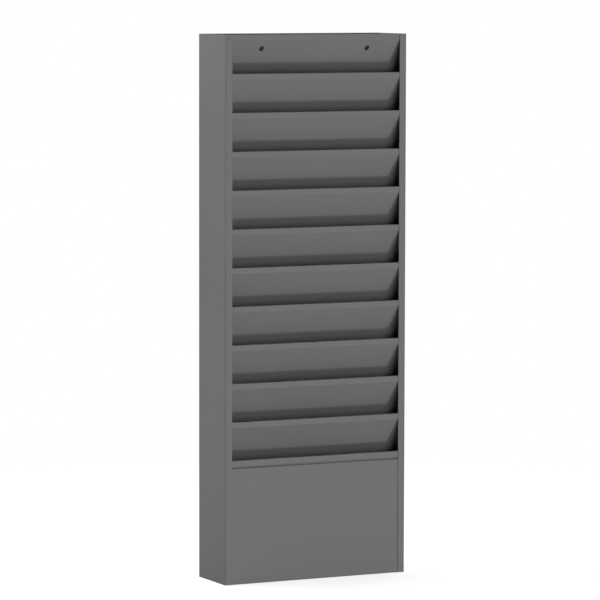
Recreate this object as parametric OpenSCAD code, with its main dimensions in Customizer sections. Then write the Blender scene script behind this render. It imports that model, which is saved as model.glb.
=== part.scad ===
// Wall-hung literature rack with eleven letter-size pockets, spot-welded from bent sheet steel.
// Each pocket is the gap between two slanted dividers. A divider starts as a hemmed lip behind the
// front flanges of the side panels, and leans down and back to a flange on the back panel.
// X runs across the rack, Y towards the wall and Z up. The origin is under the middle of the base.

/* [Case] */
// Width over the side panels
rack_w = 336.5; // [300:0.5:420]
// Depth over the flanges of the side panels
rack_d = 104.8; // [85:0.1:130]
// Height over the side panels
rack_h = 914.4; // [880:0.1:1000]
// Width of the front and rear flanges of a side panel
side_flange = 12.7; // [8:0.1:20]

/* [Sheet] */
// Thickness of the sheet steel
sheet_t = 0.9; // [0.6:0.05:1.5]
// Inside radius of the ordinary bends
bend_r = 0.8; // [0.4:0.05:1.5]
// Inside radius of the hems and of the sharp folds
fold_r = 0.4; // [0.2:0.05:0.8]

/* [Pockets] */
// Height from one lip to the next
pocket_pitch = 64.2; // [58:0.1:68]
// Height of a lip, from its top to the bend where the divider starts to lean
lip_h = 9.5; // [8:0.1:16]
// Length of the hem that is folded down behind a lip
hem_w = 6; // [4:0.1:7]
// Height of the flat flange that welds a divider to the back panel
rear_flange = 12; // [8:0.1:20]
// Width of the tabs that weld a divider to the side panels
tab_w = 9; // [6:0.1:14]
// Length of slanted sheet left plain between a lip's bend and its tabs
tab_inset = 12; // [8:0.1:30]

/* [Lower front panel] */
// Width of the flat return that welds the panel to the lowest divider
return_flange = 10; // [6:0.1:20]

/* [Wall screws] */
// Distance between the two screw holes
hole_gap = 196; // [120:0.5:260]
// Diameter of the screw holes
hole_d = 8.7; // [4:0.1:10]
// Height of the screw holes below the top of the rack
hole_drop = 24; // [19:0.1:50]

/* [Hidden] */

paint = "dimgray";
pockets = 11;
arc_steps = 6;

// Flat between the two quarter bends of a hem, which also keeps their ends apart
hem_flat = 0.1;
// Clearance between the bottom pan's flange and the lowest divider
base_clear = 1;
// Clearance between a side tab and the flange at the rear of its divider
tab_clear = 5;

// Outside radii of the two kinds of bend
bend_out = bend_r + sheet_t;
fold_out = fold_r + sheet_t;

// Lips and the lower front panel lie against the inside of the front flanges
front_y = sheet_t - rack_d / 2;
// The back panel lies against the inside of the rear flanges, and this is its inner face
rear_y = rack_d / 2 - 2 * sheet_t;
// Inner face of a side panel, and the flat sheet that clears the bends in its corners
inner_x = rack_w / 2 - sheet_t;
sheet_x = inner_x - bend_out;

// Flanges of the bottom pan are as high as the straight part of a lip
pan_flange = lip_h - bend_out;

// A divider falls from the top of its lip to the sharp corner where it would meet the back panel
drop = lip_top(pockets) - pan_flange - base_clear;
lean = atan2(rear_y - front_y, drop - lip_h);
slope_len = norm([rear_y - front_y, drop - lip_h]);
// Length that the fold at the end of a slanted sheet takes from each of its two flats
fold_len = fold_out / tan(lean / 2);

function lip_top(i) = rack_h - i * pocket_pitch;

// Unit vector square to a heading, on its left
function left(h) = [-sin(h), cos(h)];

function heading(a, b) = atan2(b[1] - a[1], b[0] - a[0]);

// Change of heading at a corner, positive to the left
function turn(h1, h2) = (h2 - h1 + 540) % 360 - 180;

// One face of a bent strip, at the distance d to the left of its path. The path holds the sharp
// corners of the strip's right face, each with the inside radius of its bend. Both faces of a bend
// are arcs about one centre, which lies on the inner side of the corner.
function face(path, d) = [
    for (i = [0 : len(path) - 1])
        let (
            last = len(path) - 1,
            corner = [path[i][0], path[i][1]],
            h1 = i > 0 ? heading(path[i - 1], path[i]) : heading(path[0], path[1]),
            h2 = i < last ? heading(path[i], path[i + 1]) : h1,
            bend = turn(h1, h2),
            c = bend > 0 ? path[i][2] + sheet_t : -path[i][2],
            centre = corner + c * (left(h1) + left(h2)) / (1 + left(h1) * left(h2))
        )
        each i == 0 || i == last
            ? [corner + d * left(h1)]
            : [for (k = [0 : arc_steps]) centre + (d - c) * left(h1 + bend * k / arc_steps)]
];

// Outline of a bent strip whose thickness lies to the left of its path
function strip(path) =
    let (inner = face(path, sheet_t))
    concat(face(path, 0), [for (k = [len(inner) - 1 : -1 : 0]) inner[k]]);

// Carries an outline drawn in Y and Z across the rack
module across(half) {
    rotate([90, 0, 90]) linear_extrude(height = 2 * half, center = true) children();
}

// Carries an outline drawn in X and Z from front to rear
module front_to_rear(half) {
    rotate([90, 0, 0]) linear_extrude(height = 2 * half, center = true) children();
}

// Puts its children on both sides of the rack
module both_sides() {
    for (side = [0, 1]) mirror([side, 0, 0]) children();
}

// Frame of a divider's slanted sheet: its corner with the lip is the origin, Y is square to the
// sheet towards the pocket, and -Z runs down the slope
module on_slope(i) {
    translate([0, front_y, lip_top(i) - lip_h]) rotate([lean, 0, 0]) children();
}

// A level Y and upright Z offset, seen in the frame of the slope, with its bend radius kept
function tilted(p) =
    [p[0] * cos(lean) + p[1] * sin(lean), p[1] * cos(lean) - p[0] * sin(lean), p[2]];

// C-section with both flanges turned in, standing the full height
module side_panel() {
    linear_extrude(height = rack_h) polygon(strip([
        [rack_w / 2 - side_flange, -rack_d / 2, 0],
        [rack_w / 2, -rack_d / 2, bend_r],
        [rack_w / 2, rack_d / 2, bend_r],
        [rack_w / 2 - side_flange, rack_d / 2, 0]
    ]));
}

module left_side_panel() {
    color(paint) mirror([1, 0, 0]) side_panel();
}

module right_side_panel() {
    color(paint) side_panel();
}

module screw_hole(depth) {
    rotate([90, 0, 0]) cylinder(d = hole_d, h = depth, center = true, $fn = 48);
}

// Flat sheet with the two screw holes
module back_panel() {
    color(paint) difference() {
        translate([-sheet_x, rear_y, 0]) cube([2 * sheet_x, sheet_t, rack_h]);
        both_sides() translate([hole_gap / 2, rear_y, rack_h - hole_drop]) screw_hole(4 * sheet_t);
    }
}

// Shallow pan with four flanges turned up and notched corners
module bottom_panel() {
    color(paint) {
        across(sheet_x) polygon(strip([
            [-rear_y, pan_flange, 0],
            [-rear_y, 0, bend_r],
            [rear_y, 0, bend_r],
            [rear_y, pan_flange, 0]
        ]));
        front_to_rear(rear_y - bend_out) polygon(strip([
            [-inner_x, pan_flange, 0],
            [-inner_x, 0, bend_r],
            [inner_x, 0, bend_r],
            [inner_x, pan_flange, 0]
        ]));
    }
}

// Plain apron. Its top edge folds back and down, flat against the underside of the lowest divider.
module lower_front_panel() {
    corner_z = lip_top(pockets) - lip_h;
    return_len = fold_len + return_flange;
    color(paint) across(sheet_x) polygon(strip([
        [front_y + return_len * sin(lean), corner_z - return_len * cos(lean), 0],
        [front_y, corner_z, fold_r],
        [front_y, 0, 0]
    ]));
}

// Tab along one side of a slanted sheet, bent up against the side panel, with its corners cut
module side_tab() {
    rear_inset = (tab_w * cos(lean) + sheet_t + tab_clear) / sin(lean);
    tab_len = slope_len - tab_inset - rear_inset;
    corner_cut = tab_w - bend_out;
    translate([0, 0, -tab_inset - tab_len]) intersection() {
        translate([0, 0, -sheet_t]) linear_extrude(height = tab_len + 2 * sheet_t) polygon(strip([
            [sheet_x - bend_out, 0, 0],
            [inner_x, 0, bend_r],
            [inner_x, tab_w, 0]
        ]));
        across(rack_w) polygon([
            [-sheet_t, 0],
            [bend_out, 0],
            [tab_w, corner_cut],
            [tab_w, tab_len - corner_cut],
            [bend_out, tab_len],
            [-sheet_t, tab_len]
        ]);
    }
}

// Lip, slope, sharp fold and rear flange of one divider, with its tabs. The edge of the lip is
// given as level and upright offsets from the bend below it.
module slanted_sheet(lip_edge) {
    rear_fold = [0, -slope_len, fold_r];
    across(sheet_x) polygon(strip(concat(
        [for (p = lip_edge) tilted(p)],
        [[0, 0, bend_r], rear_fold, rear_fold + tilted([0, fold_len + rear_flange, -fold_r])]
    )));
    both_sides() side_tab();
}

// Top sheet. Its lip is plain, and the rack is open above it. Both screw holes are bored level
// through it, in line with those in the back panel.
module header_divider() {
    hole_y = front_y + (hole_drop - lip_h) * tan(lean);
    color(paint) difference() {
        on_slope(0) slanted_sheet([[0, lip_h, 0]]);
        both_sides() translate([hole_gap / 2, hole_y, rack_h - hole_drop])
            screw_hole(hole_d + 4 * sheet_t);
    }
}

// Pocket divider, counted from the top. Its lip ends in a hem folded down on the pocket side.
module divider(i) {
    hem_y = 2 * fold_out + hem_flat;
    color(paint) on_slope(i) slanted_sheet([
        [hem_y, lip_h - hem_w, 0],
        [hem_y, lip_h, fold_r],
        [0, lip_h, fold_r]
    ]);
}

left_side_panel();
right_side_panel();
back_panel();
bottom_panel();
lower_front_panel();
header_divider();
divider(1);  // divider_01
divider(2);  // divider_02
divider(3);  // divider_03
divider(4);  // divider_04
divider(5);  // divider_05
divider(6);  // divider_06
divider(7);  // divider_07
divider(8);  // divider_08
divider(9);  // divider_09
divider(10);  // divider_10
divider(11);  // divider_11
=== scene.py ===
import math

import bpy
import numpy as np
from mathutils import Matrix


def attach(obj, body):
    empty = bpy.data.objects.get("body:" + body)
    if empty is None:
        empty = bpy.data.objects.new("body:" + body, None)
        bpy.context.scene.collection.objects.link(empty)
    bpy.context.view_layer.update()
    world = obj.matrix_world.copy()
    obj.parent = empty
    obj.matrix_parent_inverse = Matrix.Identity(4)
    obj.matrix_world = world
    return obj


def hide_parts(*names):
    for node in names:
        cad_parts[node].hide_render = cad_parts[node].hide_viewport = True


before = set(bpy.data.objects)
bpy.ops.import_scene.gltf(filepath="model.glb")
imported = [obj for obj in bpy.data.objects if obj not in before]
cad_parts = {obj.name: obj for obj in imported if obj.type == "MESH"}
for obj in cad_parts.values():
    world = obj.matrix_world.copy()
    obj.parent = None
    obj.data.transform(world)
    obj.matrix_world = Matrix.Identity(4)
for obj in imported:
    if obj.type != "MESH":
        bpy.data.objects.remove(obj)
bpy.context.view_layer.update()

# Literature rack of bent sheet steel with a baked gray enamel. Every piece is one bent sheet, and
# is worked out in millimetres: X runs across the rack, Y towards the wall and Z up from the base.
MM = 0.001

# Sizes of the solids that the pieces stand for
RACK_W, RACK_D, RACK_H = 336.5, 104.8, 914.4
SIDE_FLANGE = 12.7
SHEET_T = 0.9
BEND_R = 0.8
FOLD_R = 0.4
POCKETS = 11
POCKET_PITCH = 64.2
LIP_H = 9.5
HEM_W = 6.0
HEM_FLAT = 0.1
REAR_FLANGE = 12.0
TAB_W = 9.0
TAB_INSET = 12.0
TAB_CLEAR = 5.0
RETURN_FLANGE = 10.0
BASE_CLEAR = 1.0
HOLE_GAP = 196.0
HOLE_D = 8.7
HOLE_DROP = 24.0

BEND_OUT = BEND_R + SHEET_T
FOLD_OUT = FOLD_R + SHEET_T
FRONT_Y = SHEET_T - RACK_D / 2
REAR_Y = RACK_D / 2 - 2 * SHEET_T
INNER_X = RACK_W / 2 - SHEET_T
SHEET_X = INNER_X - BEND_OUT
PAN_FLANGE = LIP_H - BEND_OUT
DROP = RACK_H - POCKETS * POCKET_PITCH - PAN_FLANGE - BASE_CLEAR
LEAN = math.atan2(REAR_Y - FRONT_Y, DROP - LIP_H)
SLOPE_LEN = math.hypot(REAR_Y - FRONT_Y, DROP - LIP_H)
FOLD_LEN = FOLD_OUT / math.tan(LEAN / 2)
HOLE_SLOPE = (HOLE_DROP - LIP_H) / math.cos(LEAN)

# Steps in a quarter bend, the widest cell of a flat, and the cell beside a cut edge, over which the
# film gets its full thickness
BEND_STEPS = 8
CELL = 8.0
RIM_CELL = 1.0
# Cells of a front flange, the cell at a flange's cut edge, and the least gap between lines of cells
# and a flange's bend
FLANGE_CELL = 2.5
FLANGE_RIM = 0.6
BEND_GAP = 0.4
# Lines of cells along the narrow flats, and the first line down a slope, each at its distance from
# the corner that its flat starts at
HEM_CUTS = [1.0, 3.0]
LIP_CUTS = [2.5, 5.0, 7.5]
SLOPE_CUT = 2.0
TAB_CUTS = [BEND_OUT + 1.5, TAB_W - 2, TAB_W - 1]
REAR_CUTS = [FOLD_LEN + 4, FOLD_LEN + 8]
RETURN_CUTS = [1.0, 5.0]
PAN_CUTS = {0: [1.0, 3.0], 2: [BEND_OUT + 3]}
# Lengths that differ by less than this count as the same
CLOSE = 0.001
# Rounding of the cut edges, which the enamel softens
EDGE_R = 0.22
# Smallest angle at an edge that is rounded
EDGE_ANGLE = math.radians(50)
# Radius and depth of the dimple that a spot weld leaves, and the half side and line spacing of the
# square of fine cells about it
WELD_R = 2.7
WELD_DEPTH = 0.26
WELD_HALF = WELD_R + 0.45
WELD_CELL = 0.9
# Welds down a rear flange: their place from the outer edge, the first one's height, and their count
REAR_WELD_IN = 7.6
REAR_WELD_END = 38.0
REAR_WELDS = 9
# Height of the welds on the bottom pan's rear flange, and the columns of welds on the back panel
PAN_WELD_Z = PAN_FLANGE / 2 + 0.4
BACK_WELDS = [-141.0, -47.0, 47.0, 141.0]
# Place of the plug weld on the left front flange, from its outer edge and from the top of the rack.
# The plug is a dome that stands over the flange in the middle of a shallow pit, whose area is
# PIT_AREA times the plug's.
PLUG_IN, PLUG_DROP = 8.5, 9.2
PLUG_R = 3.2
PLUG_PIT = 0.3
PLUG_RISE = 1.1
PIT_AREA = 1.9
# How fast the paler gray of the painted highlight comes in up the dome: it is full at 1 /
# CROWN_GAIN of its height
CROWN_GAIN = 1.5
# Half side and line spacing of the square of fine cells about the plug weld
PLUG_HALF = 1.5 * PLUG_R
PLUG_CELL = 0.4
# Half side of the square of cells that a screw hole is set into, and its line spacing
BORE_HALF = 6.0
BORE_CELL = 1.5
# Depth that the punch draws the edge of a screw hole in, and the places of the rings about the
# hole, from 1 at the square's outline to 0 at the hole
PUNCH_DRAW = 0.16
BORE_RINGS = [0.7, 0.4, 0.18, 0.0]
# Deepest slack of each kind of flat, and the waves of its ripple
SIDE_SLACK, SIDE_WAVES = 0.25, (5.0, 9.0, 7.0)
PAN_SLACK, PAN_WAVES = 0.3, (4.0, 2.0, 5.0)
APRON_SLACK, APRON_WAVES = 0.45, (6.0, 3.0, 8.0)
SLOPE_SLACK = 0.5

# Share of the slow clouds in the drift of the enamel, the rest being mottle
CLOUD_SHARE = 0.7
# Grays of the enamel at the two ends of its drift, the paler gray painted as a highlight on top of
# the plug weld, and the primer that shows through on the cut edges
ENAMEL_DARK = (0.146, 0.146, 0.146, 1)
ENAMEL_PALE = (0.154, 0.154, 0.154, 1)
PLUG_HIGHLIGHT_GRAY = (0.215, 0.215, 0.213, 1)
PRIMER = (0.095, 0.093, 0.09, 1)
# Roughness at the two ends of the drift, and what the bare primer adds to it
SATIN = (0.45, 0.53)
PRIMER_GLOSS = -0.12
# Height of the orange peel in metres
PEEL = 0.00003

# Camera: its place in metres, its turns in degrees, its lens and sensor in millimetres, and how far
# it sees in metres
CAMERA_AT = (-2.8133, -5.6733, 1.022)
CAMERA_TURN = (84.988, -0.122, -26.327)
LENS, SENSOR = 226.39, 36.0
CLIP_END = 100.0

# Light from the world on the rack, and the lamps: azimuth and elevation in degrees, distance and
# side in metres, power in watts
WORLD_FILL = 0.05
LAMPS = {
    "key": (27, -33, 4.0, 0.5, 35),
    "front": (0, -4, 4.0, 1.4, 33),
    "front_top": (0, 28, 4.0, 1.6, 17),
    "front_right": (20, 10, 4.0, 1.4, 30),
    "left": (-118, 28, 3.6, 2.0, 112),
    "right": (130, 20, 4.0, 2.0, 85),
    "back": (180, 22, 4.0, 1.6, 30),
    "top": (180, 74, 4.0, 1.2, 16),
}

# Floor: half its side, and the distances from the rack between which it turns plain white, in
# metres
FLOOR_HALF = 7.0
FLOOR_NEAR, FLOOR_FAR = 0.7, 1.5
# Its gray for the light that it throws on the rack, and the glow and the gray that the camera sees
FLOOR_MATTE = 0.45
FLOOR_GLOW = 0.82
FLOOR_SHADED = 0.36


def lip_top(i):
    """Height of the top of divider i's lip. The header is divider 0."""
    return RACK_H - i * POCKET_PITCH


def left(heading):
    """Unit vectors square to headings given in radians, on their left."""
    return np.stack([-np.sin(heading), np.cos(heading)], axis=-1)


def spread(marks):
    """Positions at every mark, with the gaps between marks divided evenly into cells."""
    marks = np.unique(np.round(marks, 5))
    gaps = [np.linspace(a, b, math.ceil((b - a) / CELL - 1e-6) + 1)
            for a, b in zip(marks[:-1], marks[1:])]
    return np.unique(np.round(np.concatenate(gaps), 5))


def around(places, half, cell):
    """Line positions that pass evenly through a square of each half side about the places."""
    steps = round(2 * half / cell)
    return np.add.outer(places, np.linspace(-half, half, steps + 1)).ravel()


def span(lines, place):
    """First and last line of the square of cells about a screw hole."""
    return (int(np.argmin(np.abs(lines - place + BORE_HALF))),
            int(np.argmin(np.abs(lines - place - BORE_HALF))))


def section(path, cuts):
    """Right face of a bent strip: its points, and the unit normals from them into the sheet.

    The path's rows are the sharp corners (a, b, inside radius) of the right face. With n1 and n2
    the left normals before and after a corner, the bend's centre is
    corner + c (n1 + n2) / (1 + n1.n2),  where c is radius + thickness in a left bend and -radius in
    a right one, and its points are  centre - c n,  with n turned evenly from n1 to n2. A straight
    run also gets a point at each of its cuts, which are distances from the corner it starts at,
    under the run's number.
    """
    path = np.array(path, float)
    corners = path[:, :2]
    runs = np.diff(corners, axis=0)
    headings = np.arctan2(runs[:, 1], runs[:, 0])
    ways = runs / np.linalg.norm(runs, axis=1, keepdims=True)
    points, normals = [corners[:1]], [left(headings[:1])]
    for i, (way, heading) in enumerate(zip(ways, headings)):
        if i:
            before = headings[i - 1]
            turn = (heading - before + 3 * math.pi) % (2 * math.pi) - math.pi
            c = path[i, 2] + SHEET_T if turn > 0 else -path[i, 2]
            n1, n2 = left(before), left(heading)
            centre = corners[i] + c * (n1 + n2) / (1 + n1 @ n2)
            steps = math.ceil(abs(turn) / (math.pi / 2) * BEND_STEPS - 1e-6)
            n = left(before + turn * np.linspace(0, 1, steps + 1))
            points.append(centre - c * n)
            normals.append(n)
        at = np.array(cuts.get(i, ()), float)[:, None]
        points.append(corners[i] + at * way)
        normals.append(np.repeat(left(heading)[None], len(at), axis=0))
    points.append(corners[-1:])
    normals.append(left(headings[-1:]))
    return np.concatenate(points), np.concatenate(normals)


def cells(rows, columns):
    """Corner indices of every cell in a grid, shaped (rows - 1, columns - 1, 4)."""
    index = np.arange(rows * columns).reshape(rows, columns)
    return np.stack([index[:-1, :-1], index[:-1, 1:], index[1:, 1:], index[1:, :-1]], axis=-1)


def spot_welds(u, v, places):
    """Depth of spot welds at (u, v). Each is  WELD_DEPTH (1 - q)^2,  with q the squared distance
    from its place over the squared radius."""
    sink = np.zeros(np.broadcast(u, v).shape)
    for a, b in places:
        q = ((u - a) ** 2 + (v - b) ** 2) / WELD_R ** 2
        sink += WELD_DEPTH * np.clip(1 - q, 0, None) ** 2
    return sink


def plug_weld(u, v, place):
    """Depth of a plug weld at (u, v): a round pit  PLUG_PIT (1 - (q / PIT_AREA)^3),  less the
    dome of the plug,  (PLUG_PIT + PLUG_RISE) (1 - q),  with q the squared distance over the squared
    radius."""
    q = ((u - place[0]) ** 2 + (v - place[1]) ** 2) / PLUG_R ** 2
    pit = PLUG_PIT * np.clip(1 - (q / PIT_AREA) ** 3, 0, None)
    return pit - (PLUG_PIT + PLUG_RISE) * np.clip(1 - q, 0, None)


def slack(u, v, depth, waves):
    """Inward slack of a flat sheet that is held at its edges: depth times the product of sines over
    the width and the height, and a slow ripple that never lifts it outwards. u and v run 0 to 1."""
    bow = np.sin(math.pi * np.clip(u, 0, 1)) * np.sin(math.pi * np.clip(v, 0, 1))
    ripple = 0.5 + 0.25 * np.sin(waves[0] * u + waves[1] * v) + 0.25 * np.sin(waves[2] * v - 2 * u)
    return depth * bow * ripple


def bore(front, normal, quads, keep, grid, box, radius):
    """Sets a level bore into a block of grid cells, so that it is round as seen from the front.

    The block's outline is joined to the hole by rings that blend from one to the other. A point of
    a ring is  centre + (1 - f) (radius e) + f (outline - centre),  with e the vector towards the
    outline point whose part in X and Z has unit length, and f one of BORE_RINGS. The punch draws
    the sheet in by  PUNCH_DRAW (1 - f)^6.
    """
    (i0, i1), (j0, j1) = box
    keep[i0:i1, j0:j1] = False
    loop = np.concatenate([
        grid[i0, j0:j1], grid[i0:i1, j1], grid[i1, j1:j0:-1], grid[i1:i0:-1, j0]])
    outline = front[loop]
    centre = (outline.min(axis=0) + outline.max(axis=0)) / 2
    reach = outline - centre
    toward = reach / np.linalg.norm(reach[:, ::2], axis=1, keepdims=True)
    through = normal[loop]
    blend = np.array(BORE_RINGS)[:, None, None]
    rings = centre + (1 - blend) * radius * toward + blend * reach
    rings = rings + PUNCH_DRAW * (1 - blend) ** 6 * through
    count = len(loop)
    start = len(front) + np.arange(len(blend))[:, None] * count + np.arange(count)
    chain = np.concatenate([loop[None], start])
    step = np.roll(chain, -1, axis=1)
    ring_quads = np.stack([chain[:-1], step[:-1], step[1:], chain[1:]], axis=-1).reshape(-1, 4)
    front = np.concatenate([front, rings.reshape(-1, 3)])
    normal = np.concatenate([normal, np.tile(through, (len(blend), 1))])
    return front, normal, np.concatenate([quads, ring_quads])


def placed(name, data):
    """New object in the scene that holds a mesh, a lamp or a camera."""
    obj = bpy.data.objects.new(name, data)
    bpy.context.scene.collection.objects.link(obj)
    return obj


def sheet_piece(name, front, normal, quads, paint, sink=None):
    """Closed sheet of steel, made from one of its faces: its points, their unit normals into the
    sheet, and the cells that hold steel.

    The first face is pressed in by  sink normal,  and the second lies at  front + SHEET_T normal.
    Each cell edge with steel on one side only gets a wall between the two faces. The walls' edges
    are rounded, and the piece takes the place of the solid with its name. The attribute rim is 1 on
    the cut edges, where the enamel runs thin, and falls to 0 over the first line of cells. The
    attribute crown is 1 on top of a plug weld, and falls to 0 at the face about it; it masks the
    paler gray of a highlight painted there.
    """
    front, normal, quads = front.reshape(-1, 3), normal.reshape(-1, 3), quads.reshape(-1, 4)
    pressed = front if sink is None else front + sink.reshape(-1, 1) * normal
    a, b, c = (front[quads[:, k]] for k in range(3))
    if (np.cross(b - a, c - b) * normal[quads[:, 0]]).sum() > 0:
        quads = quads[:, ::-1]
    used, flat = np.unique(quads, return_inverse=True)
    quads = flat.reshape(-1, 4)
    front, normal, pressed = front[used], normal[used], pressed[used]
    count = len(front)
    ends = np.concatenate([quads[:, [k, (k + 1) % 4]] for k in range(4)])
    key = np.sort(ends, axis=1) @ np.array([count, 1])
    _, first, times = np.unique(key, return_index=True, return_counts=True)
    rim = ends[first[times == 1]]
    walls = np.stack([rim[:, 1], rim[:, 0], rim[:, 0] + count, rim[:, 1] + count], axis=1)
    points = np.concatenate([pressed, front + SHEET_T * normal]) * MM
    faces = np.concatenate([quads, quads[:, ::-1] + count, walls])
    mesh = bpy.data.meshes.new(name)
    mesh.from_pydata(points.tolist(), [], faces.tolist())
    mesh.shade_smooth()
    at_rim = np.zeros(2 * count, np.float32)
    at_rim[walls.ravel()] = 1
    mesh.attributes.new("rim", "FLOAT", "POINT").data.foreach_set("value", at_rim)
    if sink is not None:
        # Mask of the highlight painted as paler gray on top of the plug weld
        raised = np.zeros(2 * count, np.float32)
        raised[:count] = np.clip(-CROWN_GAIN * sink.ravel()[used] / PLUG_RISE, 0, 1)
        mesh.attributes.new("crown", "FLOAT", "POINT").data.foreach_set("value", raised)
    mesh.materials.append(paint)
    piece = placed(name + "_sheet", mesh)
    edge = piece.modifiers.new("cut_edges", "BEVEL")
    edge.width = EDGE_R * MM
    edge.segments = 2
    edge.limit_method = "ANGLE"
    edge.angle_limit = EDGE_ANGLE
    shade = piece.modifiers.new("flats", "WEIGHTED_NORMAL")
    shade.weight = 100
    shade.keep_sharp = False
    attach(piece, "root")
    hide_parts(name)


def swept(stations, across):
    """Grid of a section carried straight across: the section's (Y, Z) points at each X."""
    points, normals = stations
    shape = (len(points), len(across))
    front = np.empty(shape + (3,))
    front[..., 0] = across
    front[..., 1:] = points[:, None]
    normal = np.zeros(shape + (3,))
    normal[..., 1:] = normals[:, None]
    return front, normal


def side_panel(name, side, paint):
    """C-section: (X, Y) points of the flanges and the side, carried up the full height.

    Spot welds show down the rear flange, and a plug weld at the top of the left front flange.
    """
    half_w, half_d = RACK_W / 2, RACK_D / 2
    points, normals = section([
        [half_w - SIDE_FLANGE, -half_d, 0],
        [half_w, -half_d, BEND_R],
        [half_w, half_d, BEND_R],
        [half_w - SIDE_FLANGE, half_d, 0]
    ], {
        0: np.arange(FLANGE_RIM, SIDE_FLANGE - BEND_OUT - BEND_GAP,
                     PLUG_CELL if side < 0 else FLANGE_CELL),
        1: spread([BEND_OUT, RACK_D - BEND_OUT])[1:-1],
        2: np.arange(BEND_OUT + FLANGE_RIM, SIDE_FLANGE - FLANGE_RIM, WELD_CELL)
    })
    plug = (half_w - PLUG_IN, RACK_H - PLUG_DROP)
    rear_welds = [(half_w - REAR_WELD_IN, z)
                  for z in np.linspace(REAR_WELD_END, RACK_H - REAR_WELD_END, REAR_WELDS)]
    up = spread(np.concatenate([
        [0, RIM_CELL, RACK_H - RIM_CELL, RACK_H],
        around([z for _, z in rear_welds], WELD_HALF, WELD_CELL),
        around([plug[1]], PLUG_HALF, PLUG_CELL) if side < 0 else []]))
    front = np.empty((len(up), len(points), 3))
    front[..., :2] = points
    front[..., 2] = up[:, None]
    normal = np.zeros_like(front)
    normal[..., :2] = normals
    x, y, z = (front[..., k] for k in range(3))
    sink = spot_welds(x, z, rear_welds) * (y > half_d - CLOSE)
    if side < 0:
        sink += plug_weld(x, z, plug) * (y < CLOSE - half_d)
    bow = slack((y + half_d) / RACK_D, z / RACK_H, SIDE_SLACK, SIDE_WAVES) * (x > half_w - CLOSE)
    front += bow[..., None] * normal
    front[..., 0] *= side
    normal[..., 0] *= side
    sheet_piece(name, front, normal, cells(*front.shape[:2]), paint, sink)


def back_panel(paint):
    """Flat sheet with both screw holes, and rows of weld dimples where the dividers are held."""
    rows = [lip_top(i) - DROP + FOLD_LEN + REAR_FLANGE / 2 for i in range(POCKETS + 1)]
    rows.append(PAN_WELD_Z)
    holes = [-HOLE_GAP / 2, HOLE_GAP / 2]
    hole_z = RACK_H - HOLE_DROP
    x = spread(np.concatenate([[-SHEET_X, SHEET_X], around(BACK_WELDS, WELD_HALF, WELD_CELL),
                               around(holes, BORE_HALF, BORE_CELL)]))
    z = spread(np.concatenate([[0, RACK_H - RIM_CELL, RACK_H], around(rows, WELD_HALF, WELD_CELL),
                               around([hole_z], BORE_HALF, BORE_CELL)]))
    z = z[(z >= 0) & (z <= RACK_H)]
    front = np.empty((len(z), len(x), 3))
    front[..., 0] = x
    front[..., 1] = REAR_Y + SHEET_T
    front[..., 2] = z[:, None]
    normal = np.zeros_like(front)
    normal[..., 1] = -1
    welds = [(a, b) for a in BACK_WELDS for b in rows]
    front += spot_welds(front[..., 0], front[..., 2], welds)[..., None] * normal
    quads = cells(len(z), len(x))
    keep = np.ones(quads.shape[:2], bool)
    grid = np.arange(len(z) * len(x)).reshape(len(z), len(x))
    points, normals = front.reshape(-1, 3), normal.reshape(-1, 3)
    extra = np.empty((0, 4), int)
    for hole in holes:
        box = (span(z, hole_z), span(x, hole))
        points, normals, extra = bore(points, normals, extra, keep, grid, box, HOLE_D / 2)
    quads = np.concatenate([quads[keep], extra])
    sheet_piece("back_panel", points, normals, quads, paint)


def bottom_panel(paint):
    """Shallow pan with notched corners: the flat and each pair of flanges share one grid. A point's
    height is the sum of the heights of the section across and the section from front to rear."""
    across, across_n = section([
        [-INNER_X, PAN_FLANGE, 0], [-INNER_X, 0, BEND_R],
        [INNER_X, 0, BEND_R], [INNER_X, PAN_FLANGE, 0]
    ], PAN_CUTS | {1: spread([BEND_OUT, 2 * INNER_X - BEND_OUT])[1:-1]})
    deep, deep_n = section([
        [-REAR_Y, PAN_FLANGE, 0], [-REAR_Y, 0, BEND_R],
        [REAR_Y, 0, BEND_R], [REAR_Y, PAN_FLANGE, 0]
    ], PAN_CUTS | {1: spread([BEND_OUT, 2 * REAR_Y - BEND_OUT])[1:-1]})
    front = np.empty((len(deep), len(across), 3))
    front[..., 0] = across[:, 0]
    front[..., 1] = deep[:, :1]
    front[..., 2] = across[:, 1] + deep[:, 1:]
    normal = np.empty_like(front)
    normal[..., 0] = across_n[:, 0]
    normal[..., 1] = deep_n[:, :1]
    normal[..., 2] = across_n[:, 1] * deep_n[:, 1:]
    bow = slack(front[..., 0] / (2 * SHEET_X) + 0.5, front[..., 1] / (2 * REAR_Y) + 0.5, PAN_SLACK,
                PAN_WAVES)
    front += (bow * (front[..., 2] < CLOSE))[..., None] * normal
    flat_x = np.abs(across[:, 0]) <= SHEET_X + CLOSE
    flat_y = np.abs(deep[:, 0]) <= REAR_Y - BEND_OUT + CLOSE
    in_x, in_y = flat_x[:-1] & flat_x[1:], flat_y[:-1] & flat_y[1:]
    keep = in_y[:, None] | in_x[None]
    sheet_piece("bottom_panel", front, normal, cells(len(deep), len(across))[keep], paint)


def lower_front_panel(paint):
    """Plain apron whose top edge folds back and down against the lowest divider."""
    corner_z = lip_top(POCKETS) - LIP_H
    back = FOLD_LEN + RETURN_FLANGE
    stations = section([
        [FRONT_Y + back * math.sin(LEAN), corner_z - back * math.cos(LEAN), 0],
        [FRONT_Y, corner_z, FOLD_R],
        [FRONT_Y, 0, 0]
    ], {0: RETURN_CUTS, 1: spread([FOLD_LEN, corner_z - RIM_CELL])[1:]})
    across = spread([-SHEET_X, RIM_CELL - SHEET_X, SHEET_X - RIM_CELL, SHEET_X])
    front, normal = swept(stations, across)
    bow = slack(front[..., 0] / (2 * SHEET_X) + 0.5, front[..., 2] / (corner_z - FOLD_LEN),
                APRON_SLACK, APRON_WAVES)
    front += (bow * (front[..., 1] < FRONT_Y + CLOSE))[..., None] * normal
    sheet_piece("lower_front_panel", front, normal, cells(*front.shape[:2]), paint)


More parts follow.
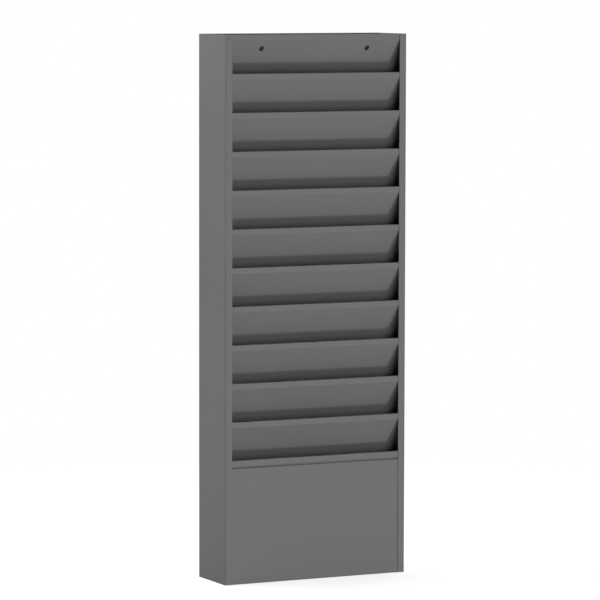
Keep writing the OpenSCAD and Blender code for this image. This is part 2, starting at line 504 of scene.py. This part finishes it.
def with_tabs(x):
    """Columns across a divider, from the places X of its flat sheet on through both side tabs.

    Gives each column's X, its lift from the flat sheet, and the parts of its normal along X and
    along the lift.
    """
    tab, tab_n = section([
        [SHEET_X - 1, 0, 0], [INNER_X, 0, BEND_R], [INNER_X, TAB_W, 0]
    ], {1: TAB_CUTS})
    # Without the start of the strip and of its bend, which the flat sheet holds
    tab, tab_n = tab[2:], tab_n[2:]
    level = np.zeros(len(x))
    return (np.concatenate([-tab[::-1, 0], x, tab[:, 0]]),
            np.concatenate([tab[::-1, 1], level, tab[:, 1]]),
            np.concatenate([-tab_n[::-1, 0], level, tab_n[:, 0]]),
            np.concatenate([tab_n[::-1, 1], level + 1, tab_n[:, 1]]))


def divider(name, i, paint):
    """Slanted sheet of one pocket. Divider 0 is the header, with a plain lip and both screw holes.

    Rows run along the section: hem, lip, slope, sharp fold and rear flange. Columns run across it
    and on through both side tabs, where a point is  row point + lift n,  with n the row's normal.
    The tabs' cut corners come from sliding their rows along the slope by  m (1 - 2 f),  m the lift
    above the bend and f the place along the tab, 0 to 1.
    """
    top = lip_top(i)
    corner = np.array([FRONT_Y, top - LIP_H])
    rear = corner + SLOPE_LEN * np.array([math.sin(LEAN), -math.cos(LEAN)])
    rear_inset = (TAB_W * math.cos(LEAN) + SHEET_T + TAB_CLEAR) / math.sin(LEAN)
    tab_end = SLOPE_LEN - rear_inset
    holes = [] if i else [-HOLE_GAP / 2, HOLE_GAP / 2]
    marks = [SLOPE_CUT, TAB_INSET, tab_end, SLOPE_LEN - FOLD_LEN - RIM_CELL]
    columns = [-SHEET_X, RIM_CELL - SHEET_X, SHEET_X - RIM_CELL, SHEET_X]
    if holes:
        marks = np.concatenate([marks, around([HOLE_SLOPE], BORE_HALF, BORE_CELL)])
        columns = np.concatenate([columns, around(holes, BORE_HALF, BORE_CELL)])
    slope_cuts = spread(marks)
    hem_y = FRONT_Y + 2 * FOLD_OUT + HEM_FLAT
    hem = [[hem_y, top - HEM_W, 0], [hem_y, top, FOLD_R], [FRONT_Y, top, FOLD_R]]
    lip = hem if i else [[FRONT_Y, top, 0]]
    slope = len(lip)
    cuts = {slope - 1: LIP_CUTS, slope: slope_cuts, slope + 1: REAR_CUTS}
    if i:
        cuts[0] = HEM_CUTS
    points, normals = section(lip + [
        [*corner, BEND_R], [*rear, FOLD_R], [rear[0], rear[1] + FOLD_LEN + REAR_FLANGE, 0]], cuts)
    x, lift, nx, nl = with_tabs(spread(columns))

    down = np.array([math.sin(LEAN), -math.cos(LEAN)])
    along = (points - corner) @ down
    on_slope = np.abs((points - corner) @ np.array([math.cos(LEAN), math.sin(LEAN)])) < CLOSE
    in_tab = on_slope & (along > TAB_INSET - CLOSE) & (along < tab_end + CLOSE)
    place = np.where(in_tab, (along - TAB_INSET) / (tab_end - TAB_INSET), 0.5)
    slide = np.clip(lift - BEND_OUT, 0, None) * (1 - 2 * place)[:, None]
    front = np.empty((len(points), len(x), 3))
    front[..., 0] = x
    front[..., 1:] = points[:, None] + lift[:, None] * normals[:, None] + slide[..., None] * down
    normal = np.empty_like(front)
    normal[..., 0] = nx
    normal[..., 1:] = nl[:, None] * normals[:, None]
    bow = slack(front[..., 0] / (2 * SHEET_X) + 0.5, along[:, None] / SLOPE_LEN, SLOPE_SLACK,
                (5.0 + i, 4.0, 6.0 + 0.7 * i))
    front += (bow * on_slope[:, None] * (lift == 0))[..., None] * normal

    quads = cells(*front.shape[:2])
    in_main = (lift[:-1] == 0) & (lift[1:] == 0)
    keep = in_main[None] | (in_tab[:-1] & in_tab[1:])[:, None]
    grid = np.arange(front.shape[0] * front.shape[1]).reshape(front.shape[:2])
    flat, flat_n = front.reshape(-1, 3), normal.reshape(-1, 3)
    extra = np.empty((0, 4), int)
    for hole in holes:
        rows = np.where(on_slope, along, np.inf)
        box = (span(rows, HOLE_SLOPE), span(np.where(lift == 0, x, np.inf), hole))
        flat, flat_n, extra = bore(flat, flat_n, extra, keep, grid, box, HOLE_D / 2)
    quads = np.concatenate([quads[keep], extra])
    sheet_piece(name, flat, flat_n, quads, paint)


def group(name, inputs, outputs):
    """New shader node group. Inputs are (name, kind, default) and outputs (name, kind)."""
    tree = bpy.data.node_groups.new(name, "ShaderNodeTree")
    for label, kind, value in inputs:
        socket = tree.interface.new_socket(label, in_out="INPUT", socket_type=kind)
        if value is not None:
            socket.default_value = value
    for label, kind in outputs:
        tree.interface.new_socket(label, in_out="OUTPUT", socket_type=kind)
    return tree, tree.nodes.new("NodeGroupInput"), tree.nodes.new("NodeGroupOutput")


def give(tree, socket, value):
    """Gives an input its value: a number, a color, or the output of another node."""
    if isinstance(value, bpy.types.NodeSocket):
        tree.links.new(value, socket)
    else:
        socket.default_value = value


def feed(tree, node, **values):
    """Gives the named inputs of a node their values."""
    for label, value in values.items():
        give(tree, node.inputs[label.replace("_", " ")], value)


def map_range(tree, value, low, high, to_low, to_high):
    """Value carried from the range low to high over to another, and held inside it."""
    node = tree.nodes.new("ShaderNodeMapRange")
    feed(tree, node, Value=value, From_Min=low, From_Max=high, To_Min=to_low, To_Max=to_high)
    return node.outputs["Result"]


def noise(tree, vector, scale, detail, roughness):
    """Cloudy noise about 0.5, with scale cells to the metre."""
    node = tree.nodes.new("ShaderNodeTexNoise")
    feed(tree, node, Vector=vector, Scale=scale, Detail=detail, Roughness=roughness)
    return node.outputs["Fac"]


def math_node(tree, operation, *values):
    """Result of an operation on its values, in their order."""
    node = tree.nodes.new("ShaderNodeMath")
    node.operation = operation
    for socket, value in zip(node.inputs, values):
        give(tree, socket, value)
    return node.outputs["Value"]


def mix_color(tree, factor, a, b):
    """Color that runs from a to b as the factor runs from 0 to 1."""
    node = tree.nodes.new("ShaderNodeMix")
    node.data_type = "RGBA"
    feed(tree, node, Factor=factor, A=a, B=b)
    return node.outputs["Result"]


def mix_shader(tree, factor, first, second):
    """Shader that runs from the first to the second as the factor runs from 0 to 1."""
    node = tree.nodes.new("ShaderNodeMixShader")
    for socket, value in zip(node.inputs, (factor, first, second)):
        give(tree, socket, value)
    return node.outputs["Shader"]


def attribute(tree, name):
    """A piece's own value for each of its points."""
    node = tree.nodes.new("ShaderNodeAttribute")
    node.attribute_name = name
    return node.outputs["Fac"]


def paint_film():
    """Skin of a sprayed and baked enamel.

    Height is the orange peel: rounded pebbles about 2 mm across, with a fine grain on them. Cloud
    is the slow drift of the spray, Mottle the faint patches a few centimetres across inside it, and
    Bare the broken line where the film has run thin on a cut edge.
    """
    tree, given, out = group("paint_film", [
        ("Vector", "NodeSocketVector", None),
        ("Rim", "NodeSocketFloat", 0.0),
        ("Pebble Scale", "NodeSocketFloat", 480.0),
        ("Cloud Scale", "NodeSocketFloat", 5.0),
    ], [("Height", "NodeSocketFloat"), ("Cloud", "NodeSocketFloat"), ("Mottle", "NodeSocketFloat"),
        ("Bare", "NodeSocketFloat")])
    vector = given.outputs["Vector"]
    pebble = noise(tree, vector, given.outputs["Pebble Scale"], 1.5, 0.4)
    grain = noise(tree, vector, 2600.0, 1.0, 0.5)
    tree.links.new(math_node(tree, "MULTIPLY_ADD", grain, 0.2, pebble), out.inputs["Height"])
    cloud = noise(tree, vector, given.outputs["Cloud Scale"], 3.0, 0.5)
    tree.links.new(map_range(tree, cloud, 0.32, 0.68, 0.0, 1.0), out.inputs["Cloud"])
    mottle = noise(tree, vector, 36.0, 2.0, 0.55)
    tree.links.new(map_range(tree, mottle, 0.3, 0.7, 0.0, 1.0), out.inputs["Mottle"])
    broken = map_range(tree, noise(tree, vector, 230.0, 2.0, 0.6), 0.45, 0.7, 0.0, 1.0)
    thin = map_range(tree, given.outputs["Rim"], 0.55, 1.0, 0.0, 1.0)
    tree.links.new(math_node(tree, "MULTIPLY", thin, broken), out.inputs["Bare"])
    return tree


def enamel(film):
    """Satin baked enamel. Its gray and its gloss drift with the film, a highlight is painted as a
    paler gray on top of the plug weld, and a little of the steel's darker, glossier primer shows
    along the cut edges."""
    mat = bpy.data.materials.new("gray_enamel")
    mat.use_nodes = True
    tree = mat.node_tree
    shader = tree.nodes["Principled BSDF"]
    where = tree.nodes.new("ShaderNodeTexCoord")
    skin = tree.nodes.new("ShaderNodeGroup")
    skin.node_tree = film
    feed(tree, skin, Vector=where.outputs["Object"], Rim=attribute(tree, "rim"))
    bare = skin.outputs["Bare"]
    slow = math_node(tree, "MULTIPLY", skin.outputs["Cloud"], CLOUD_SHARE)
    drift = math_node(tree, "MULTIPLY_ADD", skin.outputs["Mottle"], 1 - CLOUD_SHARE, slow)
    gray = mix_color(tree, drift, ENAMEL_DARK, ENAMEL_PALE)
    # Painted highlight: the top of the plug weld's dome gets a paler gray
    gray = mix_color(tree, attribute(tree, "crown"), gray, PLUG_HIGHLIGHT_GRAY)
    satin = map_range(tree, drift, 0.0, 1.0, *SATIN)
    bump = tree.nodes.new("ShaderNodeBump")
    feed(tree, bump, Strength=1.0, Distance=PEEL, Height=skin.outputs["Height"])
    feed(tree, shader, Base_Color=mix_color(tree, bare, gray, PRIMER),
         Roughness=math_node(tree, "MULTIPLY_ADD", bare, PRIMER_GLOSS, satin),
         Normal=bump.outputs["Normal"])
    return mat


def aim(obj, place, target):
    """Puts an object at a place with its -Z axis towards the target."""
    place, target = np.array(place, float), np.array(target, float)
    d = target - place
    obj.location = place
    obj.rotation_euler = (
        math.atan2(math.hypot(d[0], d[1]), -d[2]), 0.0, math.atan2(-d[0], d[1]))


def softbox(name, azimuth, elevation, distance, size, power):
    """Square lamp aimed at the middle of the rack. Its azimuth runs in degrees from straight before
    the pockets towards the rack's right side, and its elevation from the level of the middle."""
    middle = np.array([0, 0, 0.5 * RACK_H * MM])
    a, e = math.radians(azimuth), math.radians(elevation)
    way = np.array([math.sin(a) * math.cos(e), -math.cos(a) * math.cos(e), math.sin(e)])
    lamp = bpy.data.lights.new(name, "AREA")
    lamp.shape = "SQUARE"
    lamp.size = size
    lamp.energy = power
    obj = placed(name, lamp)
    obj.visible_camera = False
    aim(obj, middle + distance * way, middle)


def camera():
    """Camera before the pockets, on the rack's left and a little above its middle."""
    data = bpy.data.cameras.new("camera")
    data.sensor_width = SENSOR
    data.lens = LENS
    data.clip_end = CLIP_END
    obj = placed("camera", data)
    obj.location = CAMERA_AT
    obj.rotation_euler = tuple(math.radians(a) for a in CAMERA_TURN)
    bpy.context.scene.camera = obj


def white_world(strength):
    """World that the camera sees as white, and that lights the rack only faintly."""
    world = bpy.data.worlds.new("studio")
    bpy.context.scene.world = world
    world.use_nodes = True
    tree = world.node_tree
    tree.nodes.clear()
    out = tree.nodes.new("ShaderNodeOutputWorld")
    path = tree.nodes.new("ShaderNodeLightPath")
    seen = tree.nodes.new("ShaderNodeBackground")
    fill = tree.nodes.new("ShaderNodeBackground")
    feed(tree, seen, Color=(1, 1, 1, 1), Strength=1.0)
    feed(tree, fill, Color=(1, 1, 1, 1), Strength=strength)
    surface = mix_shader(tree, path.outputs["Is Camera Ray"], fill.outputs["Background"],
                         seen.outputs["Background"])
    tree.links.new(surface, out.inputs["Surface"])


def floor():
    """Pale matte floor. The camera sees its glow, with a share of the light that falls on it added,
    which comes to white but for the rack's own soft shadow. Past FLOOR_FAR it sees plain white. The
    key lamp and half of the front lamp are below it, so the floor stops no lamp's light."""
    h = FLOOR_HALF
    mesh = bpy.data.meshes.new("floor")
    mesh.from_pydata([(-h, -h, 0), (h, -h, 0), (h, h, 0), (-h, h, 0)], [], [(0, 1, 2, 3)])
    obj = placed("floor", mesh)
    mat = bpy.data.materials.new("floor")
    mat.use_nodes = True
    tree = mat.node_tree
    matte = tree.nodes["Principled BSDF"]
    feed(tree, matte, Base_Color=(FLOOR_MATTE,) * 3 + (1,), Roughness=0.9, Specular_IOR_Level=0.0)
    shaded = tree.nodes.new("ShaderNodeBsdfDiffuse")
    feed(tree, shaded, Color=(FLOOR_SHADED,) * 3 + (1,))
    glow = tree.nodes.new("ShaderNodeEmission")
    feed(tree, glow, Strength=FLOOR_GLOW)
    near = tree.nodes.new("ShaderNodeAddShader")
    tree.links.new(glow.outputs["Emission"], near.inputs[0])
    tree.links.new(shaded.outputs["BSDF"], near.inputs[1])
    white = tree.nodes.new("ShaderNodeEmission")
    clear = tree.nodes.new("ShaderNodeBsdfTransparent")
    path = tree.nodes.new("ShaderNodeLightPath")
    where = tree.nodes.new("ShaderNodeTexCoord")
    reach = tree.nodes.new("ShaderNodeVectorMath")
    reach.operation = "LENGTH"
    tree.links.new(where.outputs["Object"], reach.inputs[0])
    far = map_range(tree, reach.outputs["Value"], FLOOR_NEAR, FLOOR_FAR, 0.0, 1.0)
    seen = mix_shader(tree, far, near.outputs["Shader"], white.outputs["Emission"])
    solid = mix_shader(tree, path.outputs["Is Camera Ray"], matte.outputs["BSDF"], seen)
    surface = mix_shader(tree, path.outputs["Is Shadow Ray"], solid, clear.outputs["BSDF"])
    tree.links.new(surface, tree.nodes["Material Output"].inputs["Surface"])
    mesh.materials.append(mat)


camera()
white_world(WORLD_FILL)
floor()
for name, values in LAMPS.items():
    softbox(name, *values)

paint = enamel(paint_film())
side_panel("left_side_panel", -1, paint)
side_panel("right_side_panel", 1, paint)
back_panel(paint)
bottom_panel(paint)
lower_front_panel(paint)
divider("header_divider", 0, paint)
for i in range(1, POCKETS + 1):
    divider(f"divider_{i:02d}", i, paint)

bpy.context.scene.view_settings.view_transform = "Standard"
